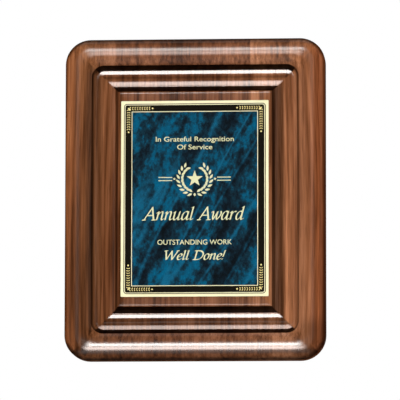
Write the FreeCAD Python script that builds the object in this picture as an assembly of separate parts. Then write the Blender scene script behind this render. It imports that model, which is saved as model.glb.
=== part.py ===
"""Wall-hung award plaque: a walnut board with a moulded front, carrying a brass engraving plate.

Millimetres. The origin is the centre of the board's back face. +X is to the right for someone facing the
plaque, +Z is up, and the front faces -Y. The back face lies in the plane Y = 0.
"""

import FreeCAD, Part
import math
import os

Vector = FreeCAD.Vector

# ---- driving dimensions ------------------------------------------------------------------------
PLAQUE_WIDTH = 266.7
PLAQUE_HEIGHT = 330.2
THICKNESS = 25.4
CORNER_RADIUS = 26.0
BACK_CHAMFER = 1.2

# raised rim: a rounded outer edge runs into a flatter crown, which falls away to the groove's lip
RIM_WIDTH = 27.3
CROWN_INSET = 13.1
CROWN_RADIUS = 27.0
EDGE_RADIUS = 8.5
LIP_CORNER_RADIUS = 12.5

# groove between the rim and the raised panel: each wall curves inwards down to its foot, and between the
# feet two shallow hollows meet in a ridge
GROOVE_WIDTH = 27.2
GROOVE_DEPTH = 8.5
LIP_COVE_RUN = 4.6
PANEL_COVE_RUN = 6.2
COVE_DROP = 8.0
HOLLOW_RADIUS = 37.0

# the raised panel's top rounds over gently towards its edge
PANEL_EASE = 2.2
PANEL_EASE_DROP = 0.3

# the board is glued up from four vertical staves, which meet at these places across the width
STAVE_NAMES = ("stave_left", "stave_centre_left", "stave_centre_right", "stave_right")
STAVE_SEAMS = (-97.5, -29.0, 57.0)

# engraving plate and the tape behind it
PLATE_WIDTH = 151.0
PLATE_HEIGHT = 201.2
PLATE_THICKNESS = 0.6
PLATE_CORNER = 0.8
TAPE_LENGTH = 140.0
TAPE_WIDTH = 25.0
TAPE_THICKNESS = 0.3
TAPE_SPACING = 76.0

# keyhole hanger let into the back, and the pocket behind it for the head of the wall screw
HANGER_HEIGHT = 100.0
HANGER_LENGTH = 44.0
HANGER_WIDTH = 16.0
HANGER_THICKNESS = 1.6
KEYHOLE_RADIUS = 4.5
KEYHOLE_DROP = 3.5
SLOT_WIDTH = 4.4
SLOT_RISE = 9.5
POCKET_WIDTH = 12.0
POCKET_DEPTH = 9.6
POCKET_LENGTH = 23.0

SCREW_SPACING = 34.0
SCREW_HEAD_RADIUS = 3.1
SCREW_SHANK_RADIUS = 1.45
SCREW_LENGTH = 12.7
SCREW_TIP = 3.0
SCREW_POINT_RADIUS = 0.2
RECESS_RADIUS = 1.7
RECESS_WIDTH = 0.7
RECESS_DEPTH = 1.1
COUNTERSINK_CLEARANCE = 0.1
PILOT_CLEARANCE = 0.05

# felt bumpers at the back corners
BUMPER_RADIUS = 6.0
BUMPER_THICKNESS = 1.5
BUMPER_X = 110.0
BUMPER_Z = 142.0
BUMPER_EASE = 0.4

# ---- values worked out from them ---------------------------------------------------------------
LIP_WIDTH = PLAQUE_WIDTH - 2 * RIM_WIDTH
LIP_HEIGHT = PLAQUE_HEIGHT - 2 * RIM_WIDTH
CROWN_RUN = RIM_WIDTH - CROWN_INSET
LIP_LEVEL = THICKNESS - CROWN_RADIUS + math.sqrt(CROWN_RADIUS**2 - CROWN_RUN**2)
PANEL_LEVEL = LIP_LEVEL
PANEL_FOOT = GROOVE_WIDTH - PANEL_COVE_RUN
RIDGE_PLACE = (LIP_COVE_RUN + PANEL_FOOT) / 2
FLOOR_LEVEL = LIP_LEVEL - GROOVE_DEPTH

# cutting tools reach this far past the faces that they cut through
OVERSHOOT = 1.0
ABOVE = THICKNESS + 5 * OVERSHOOT
# round ends stop this far short of a half circle, so that a straight is left between them
END_TRIM = 0.01


def arc(start, middle, end):
    return Part.Arc(Vector(*start), Vector(*middle), Vector(*end)).toShape()


def line(start, end):
    return Part.LineSegment(Vector(*start), Vector(*end)).toShape()


def face_of(edges):
    return Part.Face(Part.Wire(edges))


def placed(shape, position, degrees):
    """Turn a shape about the Y axis and move it there; the turn runs from +Z towards +X."""
    copy = shape.copy()
    copy.Placement = FreeCAD.Placement(
        Vector(*position), FreeCAD.Rotation(Vector(0, 1, 0), degrees)
    )
    return copy


# Sections are drawn in the YZ plane. Z is the distance outwards from the contour that the section follows,
# and Y is minus the height above the back.


def point(outwards, height):
    return (0.0, -height, outwards)


def along_arc(centre, radius, degrees):
    """A point on an arc of a section; 0 degrees is straight out of the front, 90 is outwards."""
    turn = math.radians(degrees)
    return point(
        centre[0] + radius * math.sin(turn), centre[1] + radius * math.cos(turn)
    )


def section_arc(centre, radius, start, end):
    ends = [along_arc(centre, radius, a) for a in (start, (start + end) / 2, end)]
    return arc(*ends)


def round_frame(section, width, height, radius):
    """A section carried round a rectangle with round corners, as four straights and four quarter turns."""
    run_x = width / 2 - radius
    run_z = height / 2 - radius
    pieces = []
    for side, degrees in enumerate((0, 90, 180, 270)):
        half_run, reach = (run_x, height / 2) if side % 2 == 0 else (run_z, width / 2)
        length = section.copy()
        length.translate(Vector(-half_run, 0, reach))
        length = length.extrude(Vector(2 * half_run, 0, 0))
        pieces.append(placed(length, (0, 0, 0), degrees))
        corner = section.copy()
        corner.translate(Vector(0, 0, radius))
        corner = corner.revolve(Vector(0, 0, 0), Vector(0, 1, 0), 90)
        centre_x = run_x if side in (0, 1) else -run_x
        centre_z = run_z if side in (0, 3) else -run_z
        pieces.append(placed(corner, (centre_x, 0, centre_z), degrees))
    return pieces


def mitred_frame(section, width, height):
    """A section carried round a rectangle with mitred corners; the section lies inside the rectangle."""
    pieces = []
    for side, degrees in enumerate((0, 90, 180, 270)):
        across, reach = (width, height) if side % 2 == 0 else (height, width)
        length = section.copy()
        length.translate(Vector(-across, 0, reach / 2))
        length = length.extrude(Vector(2 * across, 0, 0))
        depth = min(across, reach) / 2 - OVERSHOOT
        corners = [
            Vector(-across / 2, 0, reach / 2),
            Vector(across / 2, 0, reach / 2),
            Vector(across / 2 - depth, 0, reach / 2 - depth),
            Vector(-across / 2 + depth, 0, reach / 2 - depth),
        ]
        wedge = Part.Face(Part.makePolygon(corners + corners[:1]))
        wedge.translate(Vector(0, -2 * ABOVE, 0))
        wedge = wedge.extrude(Vector(0, 4 * ABOVE, 0))
        pieces.append(placed(length.common(wedge), (0, 0, 0), degrees))
    return pieces


def rounded_slab(width, height, radius, back, front):
    """A flat slab with round corners, reaching from one height above the back to another."""
    x, z, cut = width / 2, height / 2, radius * (1 - math.sqrt(0.5))
    edges = []
    for sx in (-1, 1):
        edges.append(line((sx * x, 0, radius - z), (sx * x, 0, z - radius)))
        edges.append(line((radius - x, 0, sx * z), (x - radius, 0, sx * z)))
        for sz in (-1, 1):
            on_end = (sx * (x - radius), 0, sz * z)
            on_side = (sx * x, 0, sz * (z - radius))
            edges.append(arc(on_end, (sx * (x - cut), 0, sz * (z - cut)), on_side))
    slab = face_of(Part.__sortEdges__(edges))
    slab.translate(Vector(0, -back, 0))
    return slab.extrude(Vector(0, back - front, 0))


def round_ended_slab(width, height, back, front):
    return rounded_slab(width, height, width / 2 - END_TRIM, back, front)


def rod(radius, x, z, back, front):
    """A cylinder along Y, from one height above the back to another; heights behind the back are negative."""
    return Part.makeCylinder(radius, front - back, Vector(x, -back, z), Vector(0, -1, 0))


# ---- the board ---------------------------------------------------------------------------------


def outer_edge_cutter():
    """What is cut away outside the crown, following the board's outline."""
    share = (CROWN_INSET - EDGE_RADIUS) / (CROWN_RADIUS - EDGE_RADIUS)
    turn = math.degrees(math.asin(share))
    drop = (CROWN_RADIUS - EDGE_RADIUS) * (1 - math.cos(math.radians(turn)))
    shoulder = THICKNESS - drop - EDGE_RADIUS
    beyond = 4 * OVERSHOOT
    section = face_of(
        [
            section_arc((-CROWN_INSET, THICKNESS - CROWN_RADIUS), CROWN_RADIUS, 0, turn),
            section_arc((-EDGE_RADIUS, shoulder), EDGE_RADIUS, turn, 90),
            line(point(0, shoulder), point(beyond, shoulder)),
            line(point(beyond, shoulder), point(beyond, ABOVE)),
            line(point(beyond, ABOVE), point(-CROWN_INSET, ABOVE)),
            line(point(-CROWN_INSET, ABOVE), point(-CROWN_INSET, THICKNESS)),
        ]
    )
    return round_frame(section, PLAQUE_WIDTH, PLAQUE_HEIGHT, CORNER_RADIUS)


def crown_fall_cutter():
    """What is cut away between the crown and the groove, following the groove's lip."""
    turn = math.degrees(math.asin(CROWN_RUN / CROWN_RADIUS))
    section = face_of(
        [
            section_arc((CROWN_RUN, THICKNESS - CROWN_RADIUS), CROWN_RADIUS, -turn, 0),
            line(point(CROWN_RUN, THICKNESS), point(CROWN_RUN, ABOVE)),
            line(point(CROWN_RUN, ABOVE), point(0, ABOVE)),
            line(point(0, ABOVE), point(0, LIP_LEVEL)),
        ]
    )
    return round_frame(section, LIP_WIDTH, LIP_HEIGHT, LIP_CORNER_RADIUS)


def hollow_point(foot, inwards):
    """A point of the shallow hollow that starts level at this foot, so far inwards from the lip."""
    away = inwards - foot
    return point(-inwards, FLOOR_LEVEL + HOLLOW_RADIUS - math.sqrt(HOLLOW_RADIUS**2 - away**2))


def hollow(foot, start, end):
    return arc(*[hollow_point(foot, inwards) for inwards in (start, (start + end) / 2, end)])


def cove(wall, direction, run):
    """A wall's curve, upright at its top; direction is 1 where the groove lies inwards of the wall."""
    radius = (run**2 + COVE_DROP**2) / (2 * run)
    centre = (-wall - direction * radius, FLOOR_LEVEL + COVE_DROP)
    turn = direction * math.degrees(math.asin(COVE_DROP / radius))
    return section_arc(centre, radius, direction * 90, direction * 90 + turn)


def outer_groove_cutter():
    """The groove from its lip to where its corners become sharp."""
    end = hollow_point(LIP_COVE_RUN, LIP_CORNER_RADIUS)
    section = face_of(
        [
            line(point(0, LIP_LEVEL), point(0, FLOOR_LEVEL + COVE_DROP)),
            cove(0, 1, LIP_COVE_RUN),
            hollow(LIP_COVE_RUN, LIP_COVE_RUN, LIP_CORNER_RADIUS),
            line(end, point(-LIP_CORNER_RADIUS, ABOVE)),
            line(point(-LIP_CORNER_RADIUS, ABOVE), point(0, ABOVE)),
            line(point(0, ABOVE), point(0, LIP_LEVEL)),
        ]
    )
    return round_frame(section, LIP_WIDTH, LIP_HEIGHT, LIP_CORNER_RADIUS)


def panel_edge(ease_radius):
    """The panel's rounded top, from its edge inwards to where it is flat."""
    end = GROOVE_WIDTH + PANEL_EASE
    turn = math.degrees(math.asin(PANEL_EASE / ease_radius))
    return section_arc((-end, PANEL_LEVEL - ease_radius), ease_radius, turn, 0)


def inner_groove_cutter():
    """The groove from where its corners become sharp to the raised panel, with the panel's eased edge."""
    ease_radius = (PANEL_EASE**2 + PANEL_EASE_DROP**2) / (2 * PANEL_EASE_DROP)
    edge_level = PANEL_LEVEL - PANEL_EASE_DROP
    ease_end = GROOVE_WIDTH + PANEL_EASE
    start = hollow_point(LIP_COVE_RUN, LIP_CORNER_RADIUS)
    section = face_of(
        [
            hollow(LIP_COVE_RUN, LIP_CORNER_RADIUS, RIDGE_PLACE),
            hollow(PANEL_FOOT, RIDGE_PLACE, PANEL_FOOT),
            cove(GROOVE_WIDTH, -1, PANEL_COVE_RUN),
            line(point(-GROOVE_WIDTH, FLOOR_LEVEL + COVE_DROP), point(-GROOVE_WIDTH, edge_level)),
            panel_edge(ease_radius),
            line(point(-ease_end, PANEL_LEVEL), point(-ease_end, ABOVE)),
            line(point(-ease_end, ABOVE), point(-LIP_CORNER_RADIUS, ABOVE)),
            line(point(-LIP_CORNER_RADIUS, ABOVE), start),
        ]
    )
    return mitred_frame(section, LIP_WIDTH, LIP_HEIGHT)


def panel_top_cutter():
    """What stands above the raised panel inside its eased edge."""
    inset = 2 * (GROOVE_WIDTH + PANEL_EASE)
    width, height = LIP_WIDTH - inset, LIP_HEIGHT - inset
    corner = Vector(-width / 2, -ABOVE, -height / 2)
    return [Part.makeBox(width, ABOVE - PANEL_LEVEL, height, corner)]


def back_hollows():
    """The hanger's recess, the pocket for the head of the wall screw, and the pilot holes."""
    recess = round_ended_slab(HANGER_WIDTH, HANGER_LENGTH, -OVERSHOOT, HANGER_THICKNESS)
    pocket = round_ended_slab(POCKET_WIDTH, POCKET_LENGTH, -OVERSHOOT, POCKET_DEPTH)
    hollows = [recess, pocket]
    for hollow in hollows:
        hollow.translate(Vector(0, 0, HANGER_HEIGHT))
    for z in screw_heights():
        hollows.append(rod(SCREW_SHANK_RADIUS + PILOT_CLEARANCE, 0, z, 0, SCREW_LENGTH + PILOT_CLEARANCE))
    return hollows


def make_board():
    board = rounded_slab(PLAQUE_WIDTH, PLAQUE_HEIGHT, CORNER_RADIUS, 0, THICKNESS)
    back_edges = [e for e in board.Edges if all(abs(v.Point.y) < 1e-6 for v in e.Vertexes)]
    board = board.makeChamfer(BACK_CHAMFER, back_edges)
    cutters = outer_edge_cutter() + crown_fall_cutter() + outer_groove_cutter()
    cutters += inner_groove_cutter() + panel_top_cutter()
    for cutter in cutters:
        board = board.cut(cutter)
    return board.cut(back_hollows())


def make_staves():
    board = make_board()
    half = PLAQUE_WIDTH / 2
    places = (-half - OVERSHOOT, *STAVE_SEAMS, half + OVERSHOOT)
    staves = {}
    for name, left, right in zip(STAVE_NAMES, places, places[1:]):
        corner = Vector(left, -ABOVE, -PLAQUE_HEIGHT)
        slice_box = Part.makeBox(right - left, 2 * ABOVE, 2 * PLAQUE_HEIGHT, corner)
        staves[name] = board.common(slice_box).removeSplitter()
    return staves


# ---- what is fixed to it -----------------------------------------------------------------------


def screw_heights():
    return (HANGER_HEIGHT + SCREW_SPACING / 2, HANGER_HEIGHT - SCREW_SPACING / 2)


def head_cone(clearance):
    """The 90 degree cone of a countersunk head, with its wide end on the board's back face."""
    wide = SCREW_HEAD_RADIUS + clearance
    narrow = SCREW_SHANK_RADIUS + clearance
    return Part.makeCone(wide, narrow, wide - narrow, Vector(0, 0, 0), Vector(0, -1, 0))


def make_hanger():
    through = (-OVERSHOOT, HANGER_THICKNESS + OVERSHOOT)
    plate = round_ended_slab(HANGER_WIDTH, HANGER_LENGTH, 0, HANGER_THICKNESS)
    entry = rod(KEYHOLE_RADIUS, 0, -KEYHOLE_DROP, *through)
    slot = rod(SLOT_WIDTH / 2, 0, SLOT_RISE - KEYHOLE_DROP, *through)
    throat = Part.makeBox(
        SLOT_WIDTH,
        HANGER_THICKNESS + 2 * OVERSHOOT,
        SLOT_RISE,
        Vector(-SLOT_WIDTH / 2, -HANGER_THICKNESS - OVERSHOOT, -KEYHOLE_DROP),
    )
    plate = plate.cut([entry, slot, throat])
    for z in (SCREW_SPACING / 2, -SCREW_SPACING / 2):
        sink = head_cone(COUNTERSINK_CLEARANCE)
        sink.translate(Vector(0, 0, z))
        hole = rod(SCREW_SHANK_RADIUS + COUNTERSINK_CLEARANCE, 0, z, *through)
        plate = plate.cut([sink, hole])
    plate.translate(Vector(0, 0, HANGER_HEIGHT))
    return plate


def make_screw(z):
    shank = rod(SCREW_SHANK_RADIUS, 0, 0, 0, SCREW_LENGTH - SCREW_TIP)
    tip_start = Vector(0, SCREW_TIP - SCREW_LENGTH, 0)
    tip = Part.makeCone(SCREW_SHANK_RADIUS, SCREW_POINT_RADIUS, SCREW_TIP, tip_start, Vector(0, -1, 0))
    screw = head_cone(0).multiFuse([shank, tip]).removeSplitter()
    for turn in (0, 90):
        corner = Vector(-RECESS_RADIUS, -RECESS_DEPTH, -RECESS_WIDTH / 2)
        bar = Part.makeBox(2 * RECESS_RADIUS, RECESS_DEPTH + OVERSHOOT, RECESS_WIDTH, corner)
        screw = screw.cut(placed(bar, (0, 0, 0), turn))
    screw.translate(Vector(0, 0, z))
    return screw


def make_tape(z):
    front = PANEL_LEVEL + TAPE_THICKNESS
    corner = Vector(-TAPE_LENGTH / 2, -front, z - TAPE_WIDTH / 2)
    return Part.makeBox(TAPE_LENGTH, TAPE_THICKNESS, TAPE_WIDTH, corner)


def make_plate():
    back = PANEL_LEVEL + TAPE_THICKNESS
    return rounded_slab(PLATE_WIDTH, PLATE_HEIGHT, PLATE_CORNER, back, back + PLATE_THICKNESS)


def make_bumper(x, z):
    bumper = rod(BUMPER_RADIUS, x, z, -BUMPER_THICKNESS, 0)
    rim = [e for e in bumper.Edges if e.BoundBox.YMin > BUMPER_THICKNESS - 0.01]
    return bumper.makeFillet(BUMPER_EASE, rim)


def make_parts():
    parts = make_staves()
    parts["engraving_plate"] = make_plate()
    for name, z in (("upper", TAPE_SPACING), ("middle", 0), ("lower", -TAPE_SPACING)):
        parts["tape_strip_" + name] = make_tape(z)
    parts["keyhole_hanger"] = make_hanger()
    for name, z in zip(("upper", "lower"), screw_heights()):
        parts["hanger_screw_" + name] = make_screw(z)
    for level, z in (("upper", BUMPER_Z), ("lower", -BUMPER_Z)):
        for side, x in (("left", -BUMPER_X), ("right", BUMPER_X)):
            parts[f"bumper_{level}_{side}"] = make_bumper(x, z)
    return parts


os.makedirs("parts", exist_ok=True)
for node, shape in make_parts().items():
    solid = shape.Solids[0]
    solid.exportStep(f"parts/{node}.step")
    print(f"{node}: {len(shape.Solids)} solid, valid {solid.isValid()}, {solid.Volume / 1000:.2f} cm3")
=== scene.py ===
"""Looks for the walnut award plaque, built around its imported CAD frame. Metres; the front faces -Y."""

import math

import bmesh
import bpy
from mathutils import Matrix, Vector
from mathutils.geometry import convex_hull_2d, delaunay_2d_cdt


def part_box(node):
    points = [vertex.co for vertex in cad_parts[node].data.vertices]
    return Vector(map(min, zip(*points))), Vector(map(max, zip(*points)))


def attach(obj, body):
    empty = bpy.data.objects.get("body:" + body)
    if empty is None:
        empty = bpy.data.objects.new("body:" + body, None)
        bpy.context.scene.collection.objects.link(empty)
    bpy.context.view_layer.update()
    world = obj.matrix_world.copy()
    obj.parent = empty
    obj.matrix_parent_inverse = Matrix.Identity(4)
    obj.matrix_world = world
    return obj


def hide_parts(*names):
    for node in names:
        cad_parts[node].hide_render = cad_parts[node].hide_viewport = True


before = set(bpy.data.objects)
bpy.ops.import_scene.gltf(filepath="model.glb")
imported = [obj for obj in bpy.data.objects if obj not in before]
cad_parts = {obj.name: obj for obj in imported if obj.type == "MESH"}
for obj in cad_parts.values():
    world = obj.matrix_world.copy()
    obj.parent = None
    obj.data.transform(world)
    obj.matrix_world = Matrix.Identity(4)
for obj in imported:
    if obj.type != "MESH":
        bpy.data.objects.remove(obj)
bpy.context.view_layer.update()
MM = 0.001

# ---- sizes ----
STAVES = ("stave_left", "stave_centre_left", "stave_centre_right", "stave_right")
BOARD_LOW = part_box("stave_left")[0]
BOARD_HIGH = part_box("stave_right")[1]
SEAMS = [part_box(name)[1].x for name in STAVES[:-1]]
HALF_WIDTH = BOARD_HIGH.x
HALF_HEIGHT = BOARD_HIGH.z
THICKNESS = -BOARD_LOW.y
PLATE_LOW, PLATE_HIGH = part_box("engraving_plate")
HANGER_LOW, HANGER_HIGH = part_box("keyhole_hanger")

CORNER_RADIUS = 26.0 * MM
BACK_EASE = 1.2 * MM
RIM_WIDTH = 27.3 * MM
CROWN_INSET = 13.1 * MM
CROWN_RADIUS = 27.0 * MM
EDGE_RADIUS = 8.5 * MM
LIP_CORNER_RADIUS = 12.5 * MM
LIP_EASE = 0.5 * MM
GROOVE_WIDTH = 27.2 * MM
GROOVE_DEPTH = 8.5 * MM
LIP_COVE_RUN = 4.6 * MM
PANEL_COVE_RUN = 6.2 * MM
COVE_DROP = 8.0 * MM
HOLLOW_RADIUS = 37.0 * MM
PANEL_EASE = 2.2 * MM
PANEL_EASE_DROP = 0.3 * MM
PANEL_ARRIS = 0.3 * MM
POCKET_HALF_WIDTH = 6.0 * MM
POCKET_HALF_LENGTH = 11.5 * MM
POCKET_DEPTH = 9.6 * MM
CUTTER_LEAD = 4.0 * MM
# the rounded edge of the lip: (outside the lip, above its level), as parts of LIP_EASE
LIP_EDGE = ((1.0, 0.45), (0.3, -0.1), (0.0, -0.7))
SHARP_ANGLE = math.radians(20)
# points closer than MERGE become one point, and places within SLACK are the same place; a cut's own slack is
# smaller, and the pen's outlines, in millimetres, have theirs
MERGE = 1e-6
SLACK = 1e-5
CUT_SLACK = 1e-7
PEN_MERGE = 1e-4

LIP_X = HALF_WIDTH - RIM_WIDTH
LIP_Z = HALF_HEIGHT - RIM_WIDTH
CROWN_RUN = RIM_WIDTH - CROWN_INSET
LIP_LEVEL = THICKNESS - CROWN_RADIUS + math.sqrt(CROWN_RADIUS**2 - CROWN_RUN**2)
PANEL_FOOT = GROOVE_WIDTH - PANEL_COVE_RUN
RIDGE_PLACE = (LIP_COVE_RUN + PANEL_FOOT) / 2
GROOVE_FLOOR = LIP_LEVEL - GROOVE_DEPTH


# ---- general helpers ----
def link(name, mesh):
    piece = bpy.data.objects.new(name, mesh)
    bpy.context.scene.collection.objects.link(piece)
    return piece


def piece_of(name, shape):
    """Turn a mesh in the making into a piece, with its faces looking outwards."""
    bmesh.ops.recalc_face_normals(shape, faces=shape.faces)
    mesh = bpy.data.meshes.new(name)
    shape.to_mesh(mesh)
    shape.free()
    return link(name, mesh)


def bridge(shape, first, second):
    """Add the faces between two loops of as many points."""
    for i in range(len(first)):
        k = (i + 1) % len(first)
        shape.faces.new((first[i], first[k], second[k], second[i]))


def prism(shape, outline, low, high):
    """Add a closed piece with this outline (x, z) between two values of y."""
    rows = [[shape.verts.new((x, y, z)) for x, z in outline] for y in (low, high)]
    bridge(shape, *rows)
    shape.faces.new(rows[0])
    shape.faces.new(rows[1])


def apply_modifiers(piece):
    bpy.context.view_layer.update()
    evaluated = piece.evaluated_get(bpy.context.evaluated_depsgraph_get())
    mesh = bpy.data.meshes.new_from_object(evaluated)
    piece.modifiers.clear()
    piece.data = mesh


def arc_points(centre, radius, start, end, steps):
    """Points (run, height) on an arc; 0 degrees is straight out of the front, 90 is outwards."""
    turns = [math.radians(start + (end - start) * i / steps) for i in range(steps + 1)]
    return [(centre[0] + radius * math.sin(t), centre[1] + radius * math.cos(t)) for t in turns]


# ---- the board ----
def contour(half_x, half_z, radius, steps=14):
    """Points round a rectangle with round corners. Sharp corners keep the same number of points."""
    points = []
    for number, (sx, sz) in enumerate(((1, 1), (1, -1), (-1, -1), (-1, 1))):
        centre = (sx * (half_x - radius), sz * (half_z - radius))
        for i in range(steps + 1):
            turn = math.radians(90 * (number + i / steps))
            points.append((centre[0] + radius * math.sin(turn), centre[1] + radius * math.cos(turn)))
    return points


def outer_stations():
    """(inset from the outline, height) from the back edge over the rounded edge to the crown."""
    turn = math.degrees(math.asin((CROWN_INSET - EDGE_RADIUS) / (CROWN_RADIUS - EDGE_RADIUS)))
    drop = (CROWN_RADIUS - EDGE_RADIUS) * (1 - math.cos(math.radians(turn)))
    shoulder = THICKNESS - drop - EDGE_RADIUS
    back = arc_points((-BACK_EASE, BACK_EASE), BACK_EASE, 180, 90, 5)
    edge = arc_points((-EDGE_RADIUS, shoulder), EDGE_RADIUS, 90, turn, 18)
    crown = arc_points((-CROWN_INSET, THICKNESS - CROWN_RADIUS), CROWN_RADIUS, turn, 0, 8)
    return back + edge + crown[1:]


def cove_stations(wall, direction, run):
    """(run from the lip, height) down a wall's curve; direction is 1 where the groove lies inwards of it."""
    radius = (run**2 + COVE_DROP**2) / (2 * run)
    turn = direction * math.degrees(math.asin(COVE_DROP / radius))
    centre = (wall + direction * radius, GROOVE_FLOOR + COVE_DROP)
    return arc_points(centre, radius, -direction * 90, -direction * 90 - turn, 16)


def groove_stations():
    """(run from the lip, height) down the outer wall, over the ridge and up the panel's wall."""
    rise = math.degrees(math.asin((RIDGE_PLACE - LIP_COVE_RUN) / HOLLOW_RADIUS))
    hollow_height = GROOVE_FLOOR + HOLLOW_RADIUS
    lip_hollow = arc_points((LIP_COVE_RUN, hollow_height), HOLLOW_RADIUS, 180, 180 - rise, 12)
    panel_hollow = arc_points((PANEL_FOOT, hollow_height), HOLLOW_RADIUS, 180 + rise, 180, 12)
    stations = cove_stations(0.0, 1, LIP_COVE_RUN) + lip_hollow[1:] + panel_hollow[1:]
    panel_wall = cove_stations(GROOVE_WIDTH, -1, PANEL_COVE_RUN)
    return stations + list(reversed(panel_wall[:-1]))


def panel_edge_stations():
    """(run from the lip, height) from the top of the panel's wall over its edge to where it is flat."""
    ease_radius = (PANEL_EASE**2 + PANEL_EASE_DROP**2) / (2 * PANEL_EASE_DROP)
    turn = math.degrees(math.asin((PANEL_EASE - PANEL_ARRIS) / ease_radius))
    ease = arc_points((GROOVE_WIDTH + PANEL_EASE, LIP_LEVEL - ease_radius), ease_radius, -turn, 0, 8)
    arris_level = ease[0][1] - PANEL_ARRIS * math.cos(math.radians(turn))
    arris_centre = (ease[0][0] + PANEL_ARRIS * math.sin(math.radians(turn)), arris_level)
    return arc_points(arris_centre, PANEL_ARRIS, -90, -turn, 5) + ease[1:]


def board_rings():
    """(height, ring of plan points) from the back edge of the board to the raised panel."""
    rings = []
    for inset, height in outer_stations():
        half_x, half_z = HALF_WIDTH + inset, HALF_HEIGHT + inset
        rings.append((height, contour(half_x, half_z, CORNER_RADIUS + inset)))
    turn = math.degrees(math.asin(CROWN_RUN / CROWN_RADIUS))
    fall = arc_points((CROWN_RUN, THICKNESS - CROWN_RADIUS), CROWN_RADIUS, 0, -turn, 18)
    stations = [(-run, height) for run, height in fall[:-1]]
    stations += [(-out * LIP_EASE, LIP_LEVEL + rise * LIP_EASE) for out, rise in LIP_EDGE]
    stations += groove_stations() + panel_edge_stations()
    # between the lip and the crown the corners widen from the lip's radius to the crown's
    widening = (CORNER_RADIUS - CROWN_INSET - LIP_CORNER_RADIUS) / CROWN_RUN
    for inwards, height in stations:
        radius = max(LIP_CORNER_RADIUS - inwards * (widening if inwards < 0 else 1), 0.0)
        rings.append((height, contour(LIP_X - inwards, LIP_Z - inwards, radius)))
    return rings


def board_mesh():
    """The whole board as one closed surface, before it is divided into staves."""
    mould = bmesh.new()
    rows = []
    for height, plan in board_rings():
        rows.append([mould.verts.new((x, -height, z)) for x, z in plan])
    for lower, upper in zip(rows, rows[1:]):
        bridge(mould, lower, upper)
    mould.faces.new(list(reversed(rows[0])))
    mould.faces.new(rows[-1])
    bmesh.ops.remove_doubles(mould, verts=mould.verts, dist=MERGE)
    bmesh.ops.recalc_face_normals(mould, faces=mould.faces)
    return mould


def stave_mesh(board, left, right):
    """The part of the board between two upright planes, closed with a flat glue face at each."""
    stave = board.copy()
    for place, direction in ((left, 1), (right, -1)):
        if abs(place) > HALF_WIDTH - SLACK:
            continue
        cut = bmesh.ops.bisect_plane(
            stave,
            geom=stave.verts[:] + stave.edges[:] + stave.faces[:],
            dist=CUT_SLACK,
            plane_co=(place, 0, 0),
            plane_no=(direction, 0, 0),
            clear_inner=True,
        )
        edges = [e for e in cut["geom_cut"] if isinstance(e, bmesh.types.BMEdge)]
        bmesh.ops.holes_fill(stave, edges=edges)
    return stave


def slot_cutter(name, half_width, half_length, depth, centre_z):
    """A tool with round ends that hollows the back of the board to the depth given."""
    cutter = bmesh.new()
    outline = [(x, centre_z + z) for x, z in contour(half_width, half_length, half_width)]
    prism(cutter, outline, CUTTER_LEAD, -depth)
    bmesh.ops.remove_doubles(cutter, verts=cutter.verts, dist=MERGE)
    return piece_of(name, cutter)


def on_mitre(point):
    """Whether a point lies where the groove's sides meet at a sharp corner."""
    from_x = LIP_X - abs(point.x)
    from_z = LIP_Z - abs(point.z)
    inside = LIP_CORNER_RADIUS - SLACK < from_x < GROOVE_WIDTH + PANEL_EASE + SLACK
    return inside and abs(from_x - from_z) < 2 * MERGE


def finish_shading(piece):
    """Smooth shading that stays crisp at the edges and along the mitres."""
    mesh = piece.data
    mesh.shade_smooth()
    mesh.set_sharp_from_angle(angle=SHARP_ANGLE)
    for edge in mesh.edges:
        a, b = (mesh.vertices[i].co for i in edge.vertices)
        if on_mitre(a) and on_mitre(b) and (a - b).length > MERGE:
            edge.use_edge_sharp = True
    weigh = piece.modifiers.new("weigh", "WEIGHTED_NORMAL")
    weigh.keep_sharp = True
    weigh.weight = 100
    apply_modifiers(piece)


def build_board():
    """The board's four staves, with the hanger's recess and the pocket behind it cut into the middle one."""
    board = board_mesh()
    places = (-HALF_WIDTH, *SEAMS, HALF_WIDTH)
    hanger_z = (HANGER_LOW.z + HANGER_HIGH.z) / 2
    staves = []
    for name, left, right in zip(STAVES, places, places[1:]):
        piece = piece_of("walnut_" + name, stave_mesh(board, left, right))
        if left < 0 < right:
            half_length = (HANGER_HIGH.z - HANGER_LOW.z) / 2
            tools = [
                slot_cutter("recess_tool", HANGER_HIGH.x, half_length, -HANGER_LOW.y, hanger_z),
                slot_cutter("pocket_tool", POCKET_HALF_WIDTH, POCKET_HALF_LENGTH, POCKET_DEPTH, hanger_z),
            ]
            for tool in tools:
                hollow = piece.modifiers.new(tool.name, "BOOLEAN")
                hollow.object = tool
                hollow.operation = "DIFFERENCE"
                hollow.solver = "EXACT"
            apply_modifiers(piece)
            for tool in tools:
                bpy.data.objects.remove(tool)
        finish_shading(piece)
        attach(piece, "root")
        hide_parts(name)
        staves.append(piece)
    board.free()
    return staves


# ---- the engraving plate's artwork ----
# Widths and places are from the plate's edge inwards, or from its middle. The screened layers and the
# engraving stand this far in front of the brass, one above the other.
PLATE_HALF_X = (PLATE_HIGH.x - PLATE_LOW.x) / 2
PLATE_HALF_Z = (PLATE_HIGH.z - PLATE_LOW.z) / 2
LAYER = 0.03 * MM
SCREENED, RULED, ENGRAVED = 0, 1, 2
BORDER = 2.8 * MM
OUTER_RULE = (3.6 * MM, 4.3 * MM)
INNER_RULE = (10.75 * MM, 11.45 * MM)
BAND_MIDDLE = 7.6 * MM
BAND_RADIUS = 6.2 * MM
SMALLEST_RADIUS = 0.4 * MM
LEAF_STEPS = 6
LEAF_SKEW = 0.85
DOT_POINTS = 12

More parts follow.
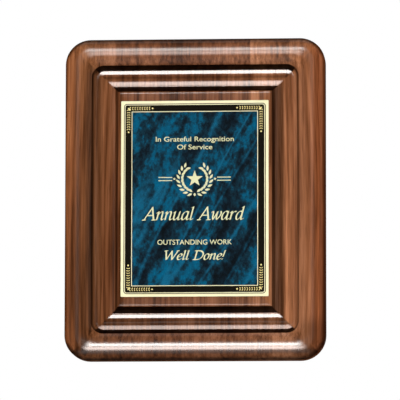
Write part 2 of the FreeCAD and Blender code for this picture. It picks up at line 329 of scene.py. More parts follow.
# the sprays in the corners of the band; a leaf or bud is (length, width)
SPRAY_START = 1.3 * MM
SPRAY_PAIRS = 9
SPRAY_PITCH = 2.46 * MM
SPRAY_LEAN = 62
SPRAY_LEAF = (2.3 * MM, 0.85 * MM)
SPRAY_DOT_GAP = 1.1 * MM
SPRAY_DOT_RADIUS = 0.85 * MM
CORNER_BUD_PLACE = 1.6 * MM
CORNER_BUD = (3.4 * MM, 1.5 * MM)

# the emblem, angles in degrees; a pair of leaves is (lean, distance outside the stem) for each
EMBLEM_Z = 20.0 * MM
WREATH_RADIUS = 14.6 * MM
WREATH_LEAVES = 9
WREATH_START = -80
WREATH_SWEEP = 128
WREATH_PAIR = ((34, 0.8 * MM), (-30, -0.8 * MM))
WREATH_LEAF = (5.6 * MM, 2.3 * MM)
WREATH_BUD = (3.4 * MM, 2.4 * MM)
WREATH_BUD_DROP = 3.2 * MM
STAR_RADIUS = 8.6 * MM
STAR_WAIST = 0.40
SMALL_STAR_PLACE = 20.8 * MM
SMALL_STAR_RADIUS = 1.7 * MM
SIDE_RULE = (23.0 * MM, 37.0 * MM)
SIDE_RULE_OFFSET = 1.6 * MM
SIDE_RULE_HALF_WIDTH = 0.42 * MM


def slab(shape, outline, layer):
    """Add a flat closed piece with this outline, one layer thick, to a mesh in the making."""
    low = PLATE_LOW.y - layer * LAYER
    prism(shape, outline, low, low - LAYER)


def ring(shape, outer, inner, radius, layer):
    """Add a flat frame between two insets from the plate's edge."""
    low = PLATE_LOW.y - layer * LAYER
    loops = []
    for inset, y in ((outer, low), (outer, low - LAYER), (inner, low - LAYER), (inner, low)):
        corner = max(radius - inset, SMALLEST_RADIUS)
        outline = contour(PLATE_HALF_X - inset, PLATE_HALF_Z - inset, corner, 6)
        loops.append([shape.verts.new((x, y, z)) for x, z in outline])
    for first, second in zip(loops, loops[1:] + loops[:1]):
        bridge(shape, first, second)


def plate_piece(name, build):
    """A piece of the plate's artwork, filled in by the function given."""
    shape = bmesh.new()
    build(shape)
    piece = piece_of(name, shape)
    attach(piece, "root")
    return piece


def leaf(x, z, length, width, degrees):
    """A pointed leaf that starts at (x, z) and grows at this angle from the +X axis."""
    across, up = math.cos(math.radians(degrees)), math.sin(math.radians(degrees))
    there = [(i, 1) for i in range(LEAF_STEPS + 1)]
    back = [(i, -1) for i in range(LEAF_STEPS - 1, 0, -1)]
    points = []
    for i, side in there + back:
        along = length * i / LEAF_STEPS
        out = side * width / 2 * math.sin(math.pi * (i / LEAF_STEPS) ** LEAF_SKEW)
        points.append((x + along * across - out * up, z + along * up + out * across))
    return points


def dot(x, z, radius):
    turns = [2 * math.pi * i / DOT_POINTS for i in range(DOT_POINTS)]
    return [(x + radius * math.cos(turn), z + radius * math.sin(turn)) for turn in turns]


def star(x, z, radius, points=5):
    outline = []
    for i in range(2 * points):
        reach = radius if i % 2 == 0 else radius * STAR_WAIST
        turn = math.pi * i / points
        outline.append((x + reach * math.sin(turn), z + reach * math.cos(turn)))
    return outline


def black_band(shape):
    ring(shape, BORDER, INNER_RULE[0] + LAYER, BAND_RADIUS, SCREENED)


def gold_rules(shape):
    ring(shape, *OUTER_RULE, BAND_RADIUS, RULED)
    ring(shape, *INNER_RULE, INNER_RULE[0], SCREENED)


def marble_field(shape):
    half_x, half_z = PLATE_HALF_X - INNER_RULE[1], PLATE_HALF_Z - INNER_RULE[1]
    slab(shape, contour(half_x, half_z, SMALLEST_RADIUS, 4), SCREENED)


def corner_sprays(shape):
    """Two arms of paired leaves running out of each corner of the black band."""
    corner_x, corner_z = PLATE_HALF_X - BAND_MIDDLE, PLATE_HALF_Z - BAND_MIDDLE
    arm = []
    for number in range(SPRAY_PAIRS):
        along = SPRAY_START + number * SPRAY_PITCH
        for lean in (SPRAY_LEAN, -SPRAY_LEAN):
            arm.append(leaf(along, 0.0, *SPRAY_LEAF, lean))
    arm.append(dot(SPRAY_START + SPRAY_PAIRS * SPRAY_PITCH + SPRAY_DOT_GAP, 0.0, SPRAY_DOT_RADIUS))
    other_arm = [[(b, a) for a, b in outline] for outline in arm]
    bud = leaf(CORNER_BUD_PLACE, CORNER_BUD_PLACE, *CORNER_BUD, 225)
    for sx, sz in ((-1, -1), (-1, 1), (1, -1), (1, 1)):
        for outline in arm + other_arm + [bud]:
            slab(shape, [(sx * (corner_x - a), sz * (corner_z - b)) for a, b in outline], ENGRAVED)


def emblem(shape):
    """A laurel wreath round a star, with two rules and a small star on each side."""
    start, end = SIDE_RULE
    for side in (-1, 1):
        for number in range(WREATH_LEAVES):
            degrees = WREATH_START + WREATH_SWEEP * number / (WREATH_LEAVES - 1)
            turn = math.radians(degrees)
            for lean, outside in WREATH_PAIR:
                radius = WREATH_RADIUS + outside
                x, z = radius * math.cos(turn), radius * math.sin(turn)
                outline = leaf(x, z, *WREATH_LEAF, degrees + 90 - lean)
                slab(shape, [(side * a, EMBLEM_Z + b) for a, b in outline], ENGRAVED)
        for offset in (SIDE_RULE_OFFSET, -SIDE_RULE_OFFSET):
            low, high = offset - SIDE_RULE_HALF_WIDTH, offset + SIDE_RULE_HALF_WIDTH
            rule = [(start, low), (end, low), (end, high), (start, high)]
            slab(shape, [(side * a, EMBLEM_Z + b) for a, b in rule], ENGRAVED)
        slab(shape, star(side * SMALL_STAR_PLACE, EMBLEM_Z, SMALL_STAR_RADIUS), ENGRAVED)
    slab(shape, star(0.0, EMBLEM_Z, STAR_RADIUS), ENGRAVED)
    slab(shape, leaf(0.0, EMBLEM_Z - WREATH_RADIUS - WREATH_BUD_DROP, *WREATH_BUD, 90), ENGRAVED)


# engraved lines in millimetres: words, width, height of the capitals, baseline above the middle, boldness
LINES = (
    ("In Grateful Recognition", 80.0, 4.9, 58.6, 0.006),
    ("Of Service", 36.0, 4.9, 50.4, 0.006),
    ("OUTSTANDING WORK", 76.0, 5.0, -47.4, 0.004),
)
# lines cut with a broad pen: words, width, height of the capitals, baseline, pen width
PEN_LINES = (
    ("Annual Award", 101.0, 12.8, -22.0, 1.6),
    ("Well Done!", 61.0, 9.0, -62.8, 1.5),
)
PEN_ANGLE = math.radians(28)
PEN_THICKNESS = 0.2
PEN_SLANT = 0.22
INSIDE_ONLY = 1
WORD_GAP = 0.34
LETTER_GAP = 0.05

# strokes that letters share or that are long, then the letters: (advance, stroke, stroke, ...). A stroke is
# the points that the pen goes through, and a capital is 1 high.
STEM_FOOT = ((0.40, 0.14), (0.44, 0.01), (0.50, 0.02), (0.56, 0.09))
ENTRY = ((0.0, 0.56), (0.09, 0.65))
SHORT_STEM = ((0.10, 0.66), (0.09, 0.0))
BOWL = (
    (0.41, 0.60), (0.28, 0.67), (0.14, 0.58), (0.05, 0.35),
    (0.07, 0.08), (0.17, 0.0), (0.30, 0.12), (0.41, 0.40),
)
CAPITAL_BOWL = (
    (0.0, 1.0), (0.30, 1.0), (0.55, 0.93), (0.72, 0.70),
    (0.73, 0.40), (0.58, 0.10), (0.32, 0.0), (0.0, 0.0),
)
EYE = (
    (0.07, 0.28), (0.26, 0.35), (0.38, 0.49), (0.33, 0.64), (0.21, 0.65),
    (0.09, 0.50), (0.05, 0.26), (0.11, 0.05), (0.24, 0.0), (0.40, 0.11),
)
ROUND = (
    (0.24, 0.66), (0.10, 0.54), (0.05, 0.28), (0.11, 0.04), (0.23, 0.0),
    (0.37, 0.12), (0.42, 0.38), (0.36, 0.60), (0.24, 0.66),
)
TALL_STEM = ((0.10, 1.04), (0.09, 0.14), (0.12, 0.01), (0.18, 0.02), (0.24, 0.09))
LETTERS = {
    " ": (WORD_GAP,),
    "!": (0.16, ((0.12, 1.02), (0.08, 0.32)), ((0.05, 0.03), (0.09, 0.06))),
    "A": (
        0.78,
        ((0.02, 0.0), (0.42, 1.02)),
        ((0.40, 1.02), (0.70, 0.0)),
        ((0.16, 0.36), (0.58, 0.36)),
        ((-0.08, 0.0), (0.13, 0.0)),
        ((0.58, 0.0), (0.84, 0.0)),
    ),
    "D": (0.80, ((0.14, 1.0), (0.14, 0.0)), CAPITAL_BOWL),
    "W": (
        1.05,
        ((0.02, 1.0), (0.24, 0.0)),
        ((0.24, 0.0), (0.54, 0.98)),
        ((0.52, 0.98), (0.72, 0.0)),
        ((0.72, 0.0), (1.04, 1.0)),
        ((-0.08, 1.0), (0.14, 1.0)),
        ((0.94, 1.0), (1.12, 1.0)),
    ),
    "a": (0.54, BOWL, ((0.42, 0.66), *STEM_FOOT)),
    "d": (0.54, BOWL, ((0.42, 1.04), *STEM_FOOT), ((0.33, 0.97), (0.42, 1.04))),
    "e": (0.42, EYE),
    "l": (0.24, ((0.0, 0.97), (0.10, 1.04)), TALL_STEM),
    "n": (0.54, ENTRY, SHORT_STEM, ((0.10, 0.40), (0.20, 0.57), (0.31, 0.66), (0.40, 0.60), *STEM_FOOT)),
    "o": (0.46, ROUND),
    "r": (0.38, ENTRY, SHORT_STEM, ((0.10, 0.40), (0.20, 0.57), (0.30, 0.66), (0.38, 0.62))),
    "u": (
        0.56,
        ENTRY,
        ((0.10, 0.66), (0.08, 0.20), (0.14, 0.01), (0.26, 0.04), (0.41, 0.30)),
        ((0.43, 0.66), *STEM_FOOT),
    ),
    "w": (
        0.68,
        ((0.0, 0.58), (0.08, 0.66), (0.12, 0.50), (0.13, 0.20), (0.19, 0.0)),
        ((0.19, 0.0), (0.40, 0.62)),
        ((0.40, 0.64), (0.39, 0.20), (0.46, 0.0)),
        ((0.46, 0.0), (0.62, 0.28), (0.67, 0.50), (0.62, 0.66)),
    ),
}


def line_of_text(words, boldness):
    """Some words as a flat mesh of unit size and unit thickness."""
    data = bpy.data.curves.new("words", "FONT")
    data.body = words
    data.offset = boldness
    data.resolution_u = 6
    data.extrude = 0.5
    holder = link("words", data)
    bpy.context.view_layer.update()
    mesh = bpy.data.meshes.new_from_object(holder.evaluated_get(bpy.context.evaluated_depsgraph_get()))
    bpy.data.objects.remove(holder)
    return mesh


def span(mesh, axis):
    values = [v.co[axis] for v in mesh.vertices]
    return min(values), max(values)


def lettering(shape):
    """The lines in plain letters, each brought to its width and height."""
    front = PLATE_LOW.y - ENGRAVED * LAYER
    for words, width, capitals, baseline, boldness in LINES:
        mesh = line_of_text(words, boldness)
        low, high = span(mesh, 0)
        wide = width * MM / (high - low)
        tall = capitals * MM / span(line_of_text("E", boldness), 1)[1]
        for vertex in mesh.vertices:
            x, z, depth = vertex.co
            x -= (low + high) / 2
            vertex.co = (x * wide, front - (depth + 0.5) * LAYER, baseline * MM + z * tall)
        shape.from_mesh(mesh)


def through(points, steps=5):
    """A smooth run through three points or more; two are joined by a straight line."""
    if len(points) == 2:
        return points
    ends = [Vector(point) for point in (points[0], *points, points[-1])]
    run = []
    for a, b, c, d in zip(ends, ends[1:], ends[2:], ends[3:]):
        slope, bend, twist = (c - a) / 2, a - 2.5 * b + 2 * c - d / 2, (3 * b - 3 * c + d - a) / 2
        for i in range(steps):
            t = i / steps
            run.append(b + t * slope + t**2 * bend + t**3 * twist)
    return run + [points[-1]]


def pen_stroke(points, pen):
    """The outlines that a broad pen, held at a fixed angle, sweeps between each point and the next."""
    along = Vector((math.cos(PEN_ANGLE), math.sin(PEN_ANGLE))) * pen / 2
    aside = Vector((-along.y, along.x)) * PEN_THICKNESS
    nib = (along + aside, along - aside, -along - aside, -along + aside)
    outlines = []
    for first, second in zip(points, points[1:]):
        cloud = [place + corner for place in (first, second) for corner in nib]
        outlines.append([cloud[i] for i in convex_hull_2d(cloud)])
    return outlines


def merged_slab(shape, outlines, layer):
    """Add one closed piece, a layer thick, over all that these outlines, in millimetres, cover."""
    points = [point for outline in outlines for point in outline]
    starts = [sum(len(outline) for outline in outlines[:i]) for i in range(len(outlines))]
    faces = [[start + i for i in range(len(outline))] for start, outline in zip(starts, outlines)]
    points, _, triangles, _, _, owners = delaunay_2d_cdt(points, [], faces, INSIDE_ONLY, PEN_MERGE)
    triangles = [triangle for triangle, owner in zip(triangles, owners) if owner]
    low = PLATE_LOW.y - layer * LAYER
    back, front = ([shape.verts.new((p.x * MM, y, p.y * MM)) for p in points] for y in (low, low - LAYER))
    edges = {(t[i - 1], t[i]) for t in triangles for i in range(3)}
    for triangle in triangles:
        shape.faces.new([front[i] for i in triangle])
        shape.faces.new([back[i] for i in reversed(triangle)])
    for start, end in edges:
        if (end, start) not in edges:
            shape.faces.new((front[start], front[end], back[end], back[start]))


def pen_lettering(shape):
    """The lines in slanting letters, built up from strokes of a broad pen."""
    for words, width, capitals, baseline, pen in PEN_LINES:
        advances = [LETTERS[letter][0] + LETTER_GAP for letter in words]
        wide = width / (sum(advances) - LETTER_GAP)
        start = 0.0
        for letter, advance in zip(words, advances):
            outlines = []
            for stroke in LETTERS[letter][1:]:
                leaning = [(start + x + PEN_SLANT * (z - 0.5), z) for x, z in through(stroke)]
                places = [Vector((x * wide - width / 2, baseline + z * capitals)) for x, z in leaning]
                outlines += pen_stroke(places, pen)
            if outlines:
                merged_slab(shape, outlines, ENGRAVED)
            start += advance


# ---- materials ----
class Graph:
    """A node tree, with one short call for each kind of node that the materials use."""

    def __init__(self, tree):
        self.nodes = tree.nodes
        self.links = tree.links

    def feed(self, socket, value):
        if isinstance(value, bpy.types.NodeSocket):
            self.links.new(value, socket)
        else:
            socket.default_value = value

    def add(self, kind, **settings):
        node = self.nodes.new("ShaderNode" + kind)
        for name, value in settings.items():
            setattr(node, name, value)
        return node

    def math(self, operation, a, b=0.0):
        node = self.add("Math", operation=operation)
        self.feed(node.inputs[0], a)
        self.feed(node.inputs[1], b)
        return node.outputs["Value"]

    def chain(self, operation, values):
        result = values[0]
        for value in values[1:]:
            result = self.math(operation, result, value)
        return result

    def plus(self, *values):
        return self.chain("ADD", values)

    def minus(self, *values):
        return self.chain("SUBTRACT", values)

    def times(self, *values):
        return self.chain("MULTIPLY", values)

    def ease(self, value, low, high, start=0.0, end=1.0):
        """A smooth step from start to end as the value goes from low to high."""
        node = self.add("MapRange", interpolation_type="SMOOTHSTEP")
        self.feed(node.inputs["Value"], value)
        for name, number in (("From Min", low), ("From Max", high), ("To Min", start), ("To Max", end)):
            self.feed(node.inputs[name], number)
        return node.outputs["Result"]

    def place(self):
        """Where a point of the piece is in the shared frame."""
        return self.add("TexCoord").outputs["Object"]

    def axes(self, vector):
        node = self.add("SeparateXYZ")
        self.feed(node.inputs[0], vector)
        return node.outputs

    def vector(self, x, y, z):
        node = self.add("CombineXYZ")
        for socket, value in zip(node.inputs, (x, y, z)):
            self.feed(socket, value)
        return node.outputs["Vector"]

    def tone(self, level):
        """A grey of this level."""
        return self.vector(level, level, level)

    def scaled(self, vector, scale, shift=(0, 0, 0), turn=(0, 0, 0)):
        node = self.add("Mapping")
        self.feed(node.inputs["Vector"], vector)
        node.inputs["Scale"].default_value = scale
        node.inputs["Location"].default_value = shift
        node.inputs["Rotation"].default_value = turn
        return node.outputs["Vector"]

    def noise(self, vector, detail=3.0, roughness=0.5, distortion=0.0):
        node = self.add("TexNoise")
        self.feed(node.inputs["Vector"], vector)
        settings = {"Scale": 1.0, "Detail": detail, "Roughness": roughness, "Distortion": distortion}
        for name, value in settings.items():
            node.inputs[name].default_value = value
        return node.outputs["Fac"]

    def speckle(self, scale, detail=3.0, roughness=0.5, shift=(0, 0, 0), distortion=0.0):
        """Noise that is this fine along each axis of the shared frame."""
        return self.noise(self.scaled(self.place(), scale, shift), detail, roughness, distortion)

    def ramp(self, factor, stops):
        """A colour that goes through the (position, colour) stops."""
        node = self.add("ValToRGB")
        elements = node.color_ramp.elements
        while len(elements) < len(stops):
            elements.new(0.5)
        for element, (position, colour) in zip(elements, stops):
            element.position = position
            element.color = (*colour, 1)
        self.feed(node.inputs["Fac"], factor)
        return node.outputs["Color"]

    def scale_of(self, value, stops):
        """A colour that goes through (millimetres, colour) stops as a length in metres changes."""
        low, high = stops[0][0], stops[-1][0]
        factor = self.add("MapRange")
        self.feed(factor.inputs["Value"], value)
        factor.inputs["From Min"].default_value = low * MM
        factor.inputs["From Max"].default_value = high * MM
        places = [((at - low) / (high - low), colour) for at, colour in stops]
        return self.ramp(factor.outputs["Result"], places)

    def mix(self, factor, a, b, blend="MIX"):
        node = self.add("Mix", data_type="RGBA", blend_type=blend)
        sockets = [node.inputs[i] for i in (0, 6, 7)]
        for socket, value in zip(sockets, (factor, a, b)):
            self.feed(socket, (*value, 1) if isinstance(value, tuple) else value)
        return node.outputs[2]

    def bump(self, height, strength, distance):
        node = self.add("Bump")
        node.inputs["Strength"].default_value = strength
        node.inputs["Distance"].default_value = distance
        self.feed(node.inputs["Height"], height)
        return node.outputs["Normal"]


def new_material(name):
    material = bpy.data.materials.new(name)
    material.use_nodes = True
    graph = Graph(material.node_tree)
    return material, graph, graph.nodes["Principled BSDF"].inputs


def grey(level):
    return (level, level, level)


def greys(table):
    return [(at, grey(level)) for at, level in table]


# colours of the wood's figure, from its dark bands to its light ones: (position, colour)
WALNUT_FIGURE = (
    (0.0, (0.058, 0.0190, 0.0072)),
    (0.35, (0.165, 0.0570, 0.0230)),
    (0.65, (0.245, 0.0900, 0.0380)),
    (1.0, (0.370, 0.1500, 0.0720)),
)
# tint of the wood from the left edge to the right: (millimetres from the middle, tint)
WALNUT_TINTS = (
    (-132, (1.20, 1.06, 0.80)),
    (-128, (1.20, 1.12, 0.90)),
    (-123, (1.14, 1.14, 1.04)),
    (-112, (1.04, 1.12, 1.06)),
    (-85, (1.02, 1.02, 0.96)),
    (-60, (0.96, 0.93, 0.88)),
    (20, (1.00, 1.00, 1.00)),
    (55, (1.12, 1.14, 1.14)),
    (60, (1.38, 1.46, 1.48)),
    (72, (1.44, 1.56, 1.62)),
    (100, (1.36, 1.50, 1.60)),
    (116, (1.32, 1.36, 1.36)),
    (126, (1.30, 1.10, 0.94)),
    (132, (1.00, 0.76, 0.56)),
)
# the level that painted shade and painted light give the wood's colour, across the upright sides of the rim
# and groove
# and up the rails that join them: (millimetres from the middle, level)
SIDE_PAINTED_SHADING = (
    (-133, 0.50),
    (-130, 1.00),
    (-109, 1.00),
    (-107.2, 0.45),
    (-105.8, 0.45),
    (-104, 0.80),
    (-100, 0.62),
    (-97, 0.80),
    (-94.5, 1.15),
    (-91.5, 1.10),
    (-88, 0.95),
    (-78, 1.00),
    (77, 1.00),
    (78.5, 0.70),
    (80.5, 0.45),
    (83.5, 0.42),
    (87, 0.50),
    (90, 0.72),
    (92, 1.20),
    (94, 1.55),
    (97, 1.20),
    (100, 1.45),
    (103.5, 1.00),
    (106, 1.10),
    (109, 0.95),
    (112, 0.90),
    (128, 1.00),
    (131, 0.65),
    (133, 0.35),
)
# painted shade and painted light up and down the rails, darkest at the top and bottom edges: (millimetres up
# from the middle, level)
RAIL_PAINTED_SHADING = (
    (-164.2, 0.12),
    (-161.0, 0.62),
    (-159.5, 0.52),
    (-157.5, 0.32),
    (-155.5, 0.36),
    (-153.0, 0.60),
    (-149.0, 0.90),
    (-130.0, 0.90),
    (-128.5, 0.60),
    (-123.5, 0.50),
    (-121.3, 0.84),
    (124.0, 1.00),
    (125.3, 0.60),
    (126.8, 0.55),
    (128.2, 1.00),
    (139.0, 1.00),
    (141.0, 1.20),
    (150.0, 1.15),
    (158.0, 1.00),
    (161.2, 0.50),
    (164.0, 0.12),
)
# where shade is painted on the groove's walls, as distances from the lip: (starts, is full, is full until,
# ends)
RAIL_SHADED_WALLS = ((-0.5 * MM, 0.3 * MM, 4.0 * MM, 5.2 * MM), (20.6 * MM, 21.6 * MM, 27.0 * MM, 27.4 * MM))
SIDE_SHADED_WALLS = ((-0.5 * MM, 0.3 * MM, 1.0 * MM, 2.6 * MM), (23.5 * MM, 25.0 * MM, 27.0 * MM, 27.4 * MM))
# how much of the wood's colour painted shade takes away there and round the outline's corners, and how much
# darker the lower right is made
RAIL_WALLS_PAINTED_SHADE = 0.94
SIDE_WALLS_PAINTED_SHADE = 0.6
CORNER_PAINTED_SHADE = 0.72
LOW_RIGHT_DARKENING = 0.38
# a finish's painted shading and coat fade out over this reach, from the front towards the back, and behind it
# the colour has a level of its own
RIM_FINISH = {"reach": (-19 * MM, -15 * MM), "behind": 0.45, "coat_roughness": 0.20, "coat_ior": 1.95}
FIELD_FINISH = {"reach": (-9 * MM, -6 * MM), "behind": 1.0, "coat_roughness": 0.05, "coat_ior": 1.6}
RIM_FINISH_START = 0.1 * MM
# how full the coat is: on the rim, at the groove's sides and on the panel
RIM_SIDES_COAT = 0.04
RIM_BOTTOM_COAT = 0.84
RIM_TOP_COAT = 0.33
GROOVE_SIDES_COAT = 0.12
PANEL_COAT = 0.4
# how full the coat is in the groove's rails: (millimetres up from the middle, level)
RAIL_COAT = (
    (-138.0, 0.62),
    (-127.5, 0.62),
    (-124.0, 1.00),
    (111.0, 1.00),
    (112.0, 0.85),
    (121.0, 0.85),
    (124.5, 1.00),
    (138.0, 1.00),
)


def by_half(graph, z, lower, upper):
    """One value on the lower half of the board and another on the upper half."""
    return graph.ease(z, -10 * MM, 10 * MM, lower, upper)


def rim_gloss(graph, x_inset, z_inset, z):
    """Coat on the rim: full along the bottom rail, thin along the top one and thinnest at the sides."""
    past_corner = graph.ease(graph.minus(x_inset, z_inset), 3 * MM, 14 * MM)
    before_lip = graph.ease(z_inset, 28 * MM, 23.5 * MM)
    starts, is_full = by_half(graph, z, 4.5 * MM, 2 * MM), by_half(graph, z, 10 * MM, 6 * MM)
    rail = graph.times(past_corner, before_lip, graph.ease(z_inset, starts, is_full))
    return graph.plus(RIM_SIDES_COAT, graph.times(rail, by_half(graph, z, RIM_BOTTOM_COAT, RIM_TOP_COAT)))


def field_gloss(graph, inset, x_inset, z_inset, z):
    """Coat on the groove and panel: full in the groove's rails, thin at its sides and on the panel."""
    rails = graph.ease(graph.minus(x_inset, z_inset), -0.5 * MM, 2 * MM, GROOVE_SIDES_COAT, 1.0)
    edge = RIM_WIDTH + GROOVE_WIDTH
    panel = graph.ease(inset, edge - 0.2 * MM, edge, 1.0, PANEL_COAT)
    return graph.times(rails, graph.scale_of(z, greys(RAIL_COAT)), panel)


def depth_inside(graph, x_inset, z_inset, start, radius):
    """How far a point lies inside a line that runs this far in and has corners of this radius."""
    over = [graph.minus(start + radius, x_inset), graph.minus(start + radius, z_inset)]
    inside = graph.math("MINIMUM", graph.math("MAXIMUM", *over), 0.0)
    squares = [graph.math("POWER", graph.math("MAXIMUM", value, 0.0), 2.0) for value in over]
    outside = graph.math("SQRT", graph.plus(*squares))
    return graph.minus(radius, inside, outside)


def at_walls(graph, run, walls):
    """1 where shade is painted on the groove's two walls and 0 elsewhere."""
    bands = []
    for starts, is_full, full_until, ends in walls:
        bands.append(graph.times(graph.ease(run, starts, is_full), graph.ease(run, ends, full_until)))
    return graph.plus(*bands)


def groove_painted_shade(graph, run, lengthwise):
    """How far the shade painted on the walls of the groove leaves the wood its colour."""
    rails = graph.times(at_walls(graph, run, RAIL_SHADED_WALLS), lengthwise, RAIL_WALLS_PAINTED_SHADE)
    sides = graph.times(at_walls(graph, run, SIDE_SHADED_WALLS), graph.minus(1.0, lengthwise), SIDE_WALLS_PAINTED_SHADE)
    return graph.minus(1.0, graph.plus(rails, sides))


def rim_painted_shade(graph, x, z, inset, depth):
    """How far the shade painted in the rim's corners, and the darkening towards the lower right, leave the
    wood its colour.
    """
    near_edge = graph.ease(depth, 5.5 * MM, 1.5 * MM)
    round_corner = graph.ease(graph.minus(inset, depth), 0.2 * MM, 2.5 * MM)
    corners = graph.minus(1.0, graph.times(near_edge, round_corner, CORNER_PAINTED_SHADE))
    low_right = graph.times(graph.ease(x, 98 * MM, 114 * MM), graph.ease(z, -112 * MM, -140 * MM))
    return graph.times(corners, graph.ease(low_right, 0.0, 1.0, 1.0, 1.0 - LOW_RIGHT_DARKENING))


def walnut_grain(graph, seed):
    """The figure of the wood, its streaks and its fibres, all drawn out along the board's height."""
    x, y, z = graph.axes(graph.place())
    drift = graph.speckle((9, 9, 2.6), 1.0, shift=(seed, 0, seed))
    grain = graph.vector(graph.plus(x, graph.times(drift, 0.016)), y, z)
    rings = graph.noise(graph.scaled(grain, (62, 62, 2.6), (seed, seed, 0)), 3.0, 0.6)
    streaks = graph.noise(graph.scaled(grain, (250, 250, 6.5), (seed, 2 * seed, 0)), 4.0, 0.62)
    fibres = graph.noise(graph.scaled(grain, (1700, 1700, 28), (0, seed, seed)), 2.0, 0.5)
    return graph.plus(graph.times(rings, 0.5), graph.times(streaks, 0.5)), streaks, fibres


def walnut_material(name, seed, tone, on_rim):
    """Stained walnut under a clear coat, with shade and light painted into its colour at the sides, rails,
    groove walls and corners. The tone lightens or darkens one stave's wood.
    """
    finish = RIM_FINISH if on_rim else FIELD_FINISH
    material, graph, shader = new_material(name)
    x, y, z = graph.axes(graph.place())
    x_inset = graph.minus(HALF_WIDTH, graph.math("ABSOLUTE", x))
    z_inset = graph.minus(HALF_HEIGHT, graph.math("ABSOLUTE", z))
    inset = graph.math("MINIMUM", x_inset, z_inset)
    lengthwise = graph.ease(graph.minus(x_inset, z_inset), -1 * MM, 1 * MM)
    front = graph.ease(y, *finish["reach"], 1.0, 0.0)
    # shade is painted into the colour here, and thins the coat: round the rim's corners with the rim darker
    # towards the lower right, or on the groove's walls
    if on_rim:
        depth = depth_inside(graph, x_inset, z_inset, 0.0, CORNER_RADIUS)
        painted_shade = rim_painted_shade(graph, x, z, inset, depth)
        coat = rim_gloss(graph, x_inset, z_inset, z)
    else:
        run = depth_inside(graph, x_inset, z_inset, RIM_WIDTH, LIP_CORNER_RADIUS)
        painted_shade = groove_painted_shade(graph, run, lengthwise)
        coat = field_gloss(graph, inset, x_inset, z_inset, z)

    figure, streaks, fibres = walnut_grain(graph, seed)
    body = graph.ramp(graph.ease(figure, 0.33, 0.68), WALNUT_FIGURE)
    tints = [(at, tuple(tone * part for part in tint)) for at, tint in WALNUT_TINTS]
    tinted = graph.mix(1.0, body, graph.scale_of(x, tints), "MULTIPLY")
    # painted shade and painted light across the sides and along the rails, faded out towards the back
    side, rail = graph.scale_of(x, greys(SIDE_PAINTED_SHADING)), graph.scale_of(z, greys(RAIL_PAINTED_SHADING))
    painted_shading = graph.mix(front, grey(finish["behind"]), graph.mix(lengthwise, side, rail))
    pores = graph.ease(fibres, 0.34, 0.45, 0.62, 1.0)
    # the pores darken the wood together with the painted shade
    pores_and_shade = graph.mix(front, grey(1.0), graph.tone(graph.times(pores, painted_shade)))
    shaded_colour = graph.mix(1.0, tinted, painted_shading, "MULTIPLY")
    graph.feed(shader["Base Color"], graph.mix(1.0, shaded_colour, pores_and_shade, "MULTIPLY"))
    graph.feed(shader["Roughness"], graph.ease(streaks, 0.3, 0.7, 0.55, 0.42))
    graph.feed(shader["Normal"], graph.bump(fibres, 0.10, 0.0002))
    graph.feed(shader["Coat Weight"], graph.times(coat, front, painted_shade))
    shader["Specular IOR Level"].default_value = 0.0
    shader["Coat Roughness"].default_value = finish["coat_roughness"]
    shader["Coat IOR"].default_value = finish["coat_ior"]
    return material


def past_lip(place):
    """How far a point lies outside the rounded outline of the groove; negative inside it."""
    over_x = abs(place.x) - LIP_X
    over_z = abs(place.z) - LIP_Z
    round_x = max(over_x + LIP_CORNER_RADIUS, 0.0)
    round_z = max(over_z + LIP_CORNER_RADIUS, 0.0)
    return max(over_x, over_z, math.hypot(round_x, round_z) - LIP_CORNER_RADIUS)


def dress_stave(piece, seed, tone):
    """Two finishes of one wood: the rim's, and that of the groove, the panel and the back."""
    piece.data.materials.clear()
    piece.data.materials.append(walnut_material(piece.name, seed, tone, False))
    piece.data.materials.append(walnut_material(piece.name + "_rim", seed, tone, True))
    for face in piece.data.polygons:
        on_rim = face.center.y < -BACK_EASE and past_lip(face.center) > RIM_FINISH_START
        face.material_index = 1 if on_rim else 0


def brass_material(name, dark, light):
    """Satin brass with a faint vertical brushing and slow changes of tone."""
    material, graph, shader = new_material(name)
    brushed = graph.speckle((4000, 4000, 90), 2.0)
    cloud = graph.speckle((30, 30, 22))
    level = graph.plus(graph.times(brushed, 0.35), graph.times(cloud, 0.65))
    graph.feed(shader["Base Color"], graph.ramp(level, [(0.25, dark), (0.75, light)]))
    graph.feed(shader["Roughness"], graph.ease(brushed, 0.3, 0.7, 0.52, 0.62))
    graph.feed(shader["Normal"], graph.bump(brushed, 0.08, 0.0001))
    shader["Metallic"].default_value = 1.0
    return material


def speckled_material(name, colour, stops, relief, roughness, bump=None, metallic=0.0):
    """A material whose colour follows one noise, and whose roughness and relief follow another."""
    material, graph, shader = new_material(name)
    graph.feed(shader["Base Color"], graph.ramp(graph.speckle(*colour), stops))
    height = graph.speckle(*relief)
    graph.feed(shader["Roughness"], graph.ease(height, 0.3, 0.7, *roughness))
    if bump:
        graph.feed(shader["Normal"], graph.bump(height, *bump))
    shader["Metallic"].default_value = metallic
    return material


def enamel_material():
    """Screened black, a little uneven, with brass-coloured dust in it and no shine."""
    material = speckled_material(
        "plate_black",
        colour=((900, 900, 900),),
        stops=[(0.3, (0.004, 0.004, 0.003)), (0.75, (0.016, 0.014, 0.009))],
        relief=((900, 900, 900),),
        roughness=(0.50, 0.62),
    )
    material.node_tree.nodes["Principled BSDF"].inputs["Specular IOR Level"].default_value = 0.0
    return material


# colours of the marbling, from its ground to its clouds: (position, colour)
MARBLE_CLOUDS = (
    (0.0, (0.0045, 0.0068, 0.0088)),
    (0.30, (0.0065, 0.0150, 0.0240)),
    (0.60, (0.0075, 0.0335, 0.0560)),
    (1.0, (0.0035, 0.1120, 0.2200)),
)
MARBLE_VEIN = (0.010, 0.130, 0.245)
MARBLE_SLOPE = math.radians(-28)


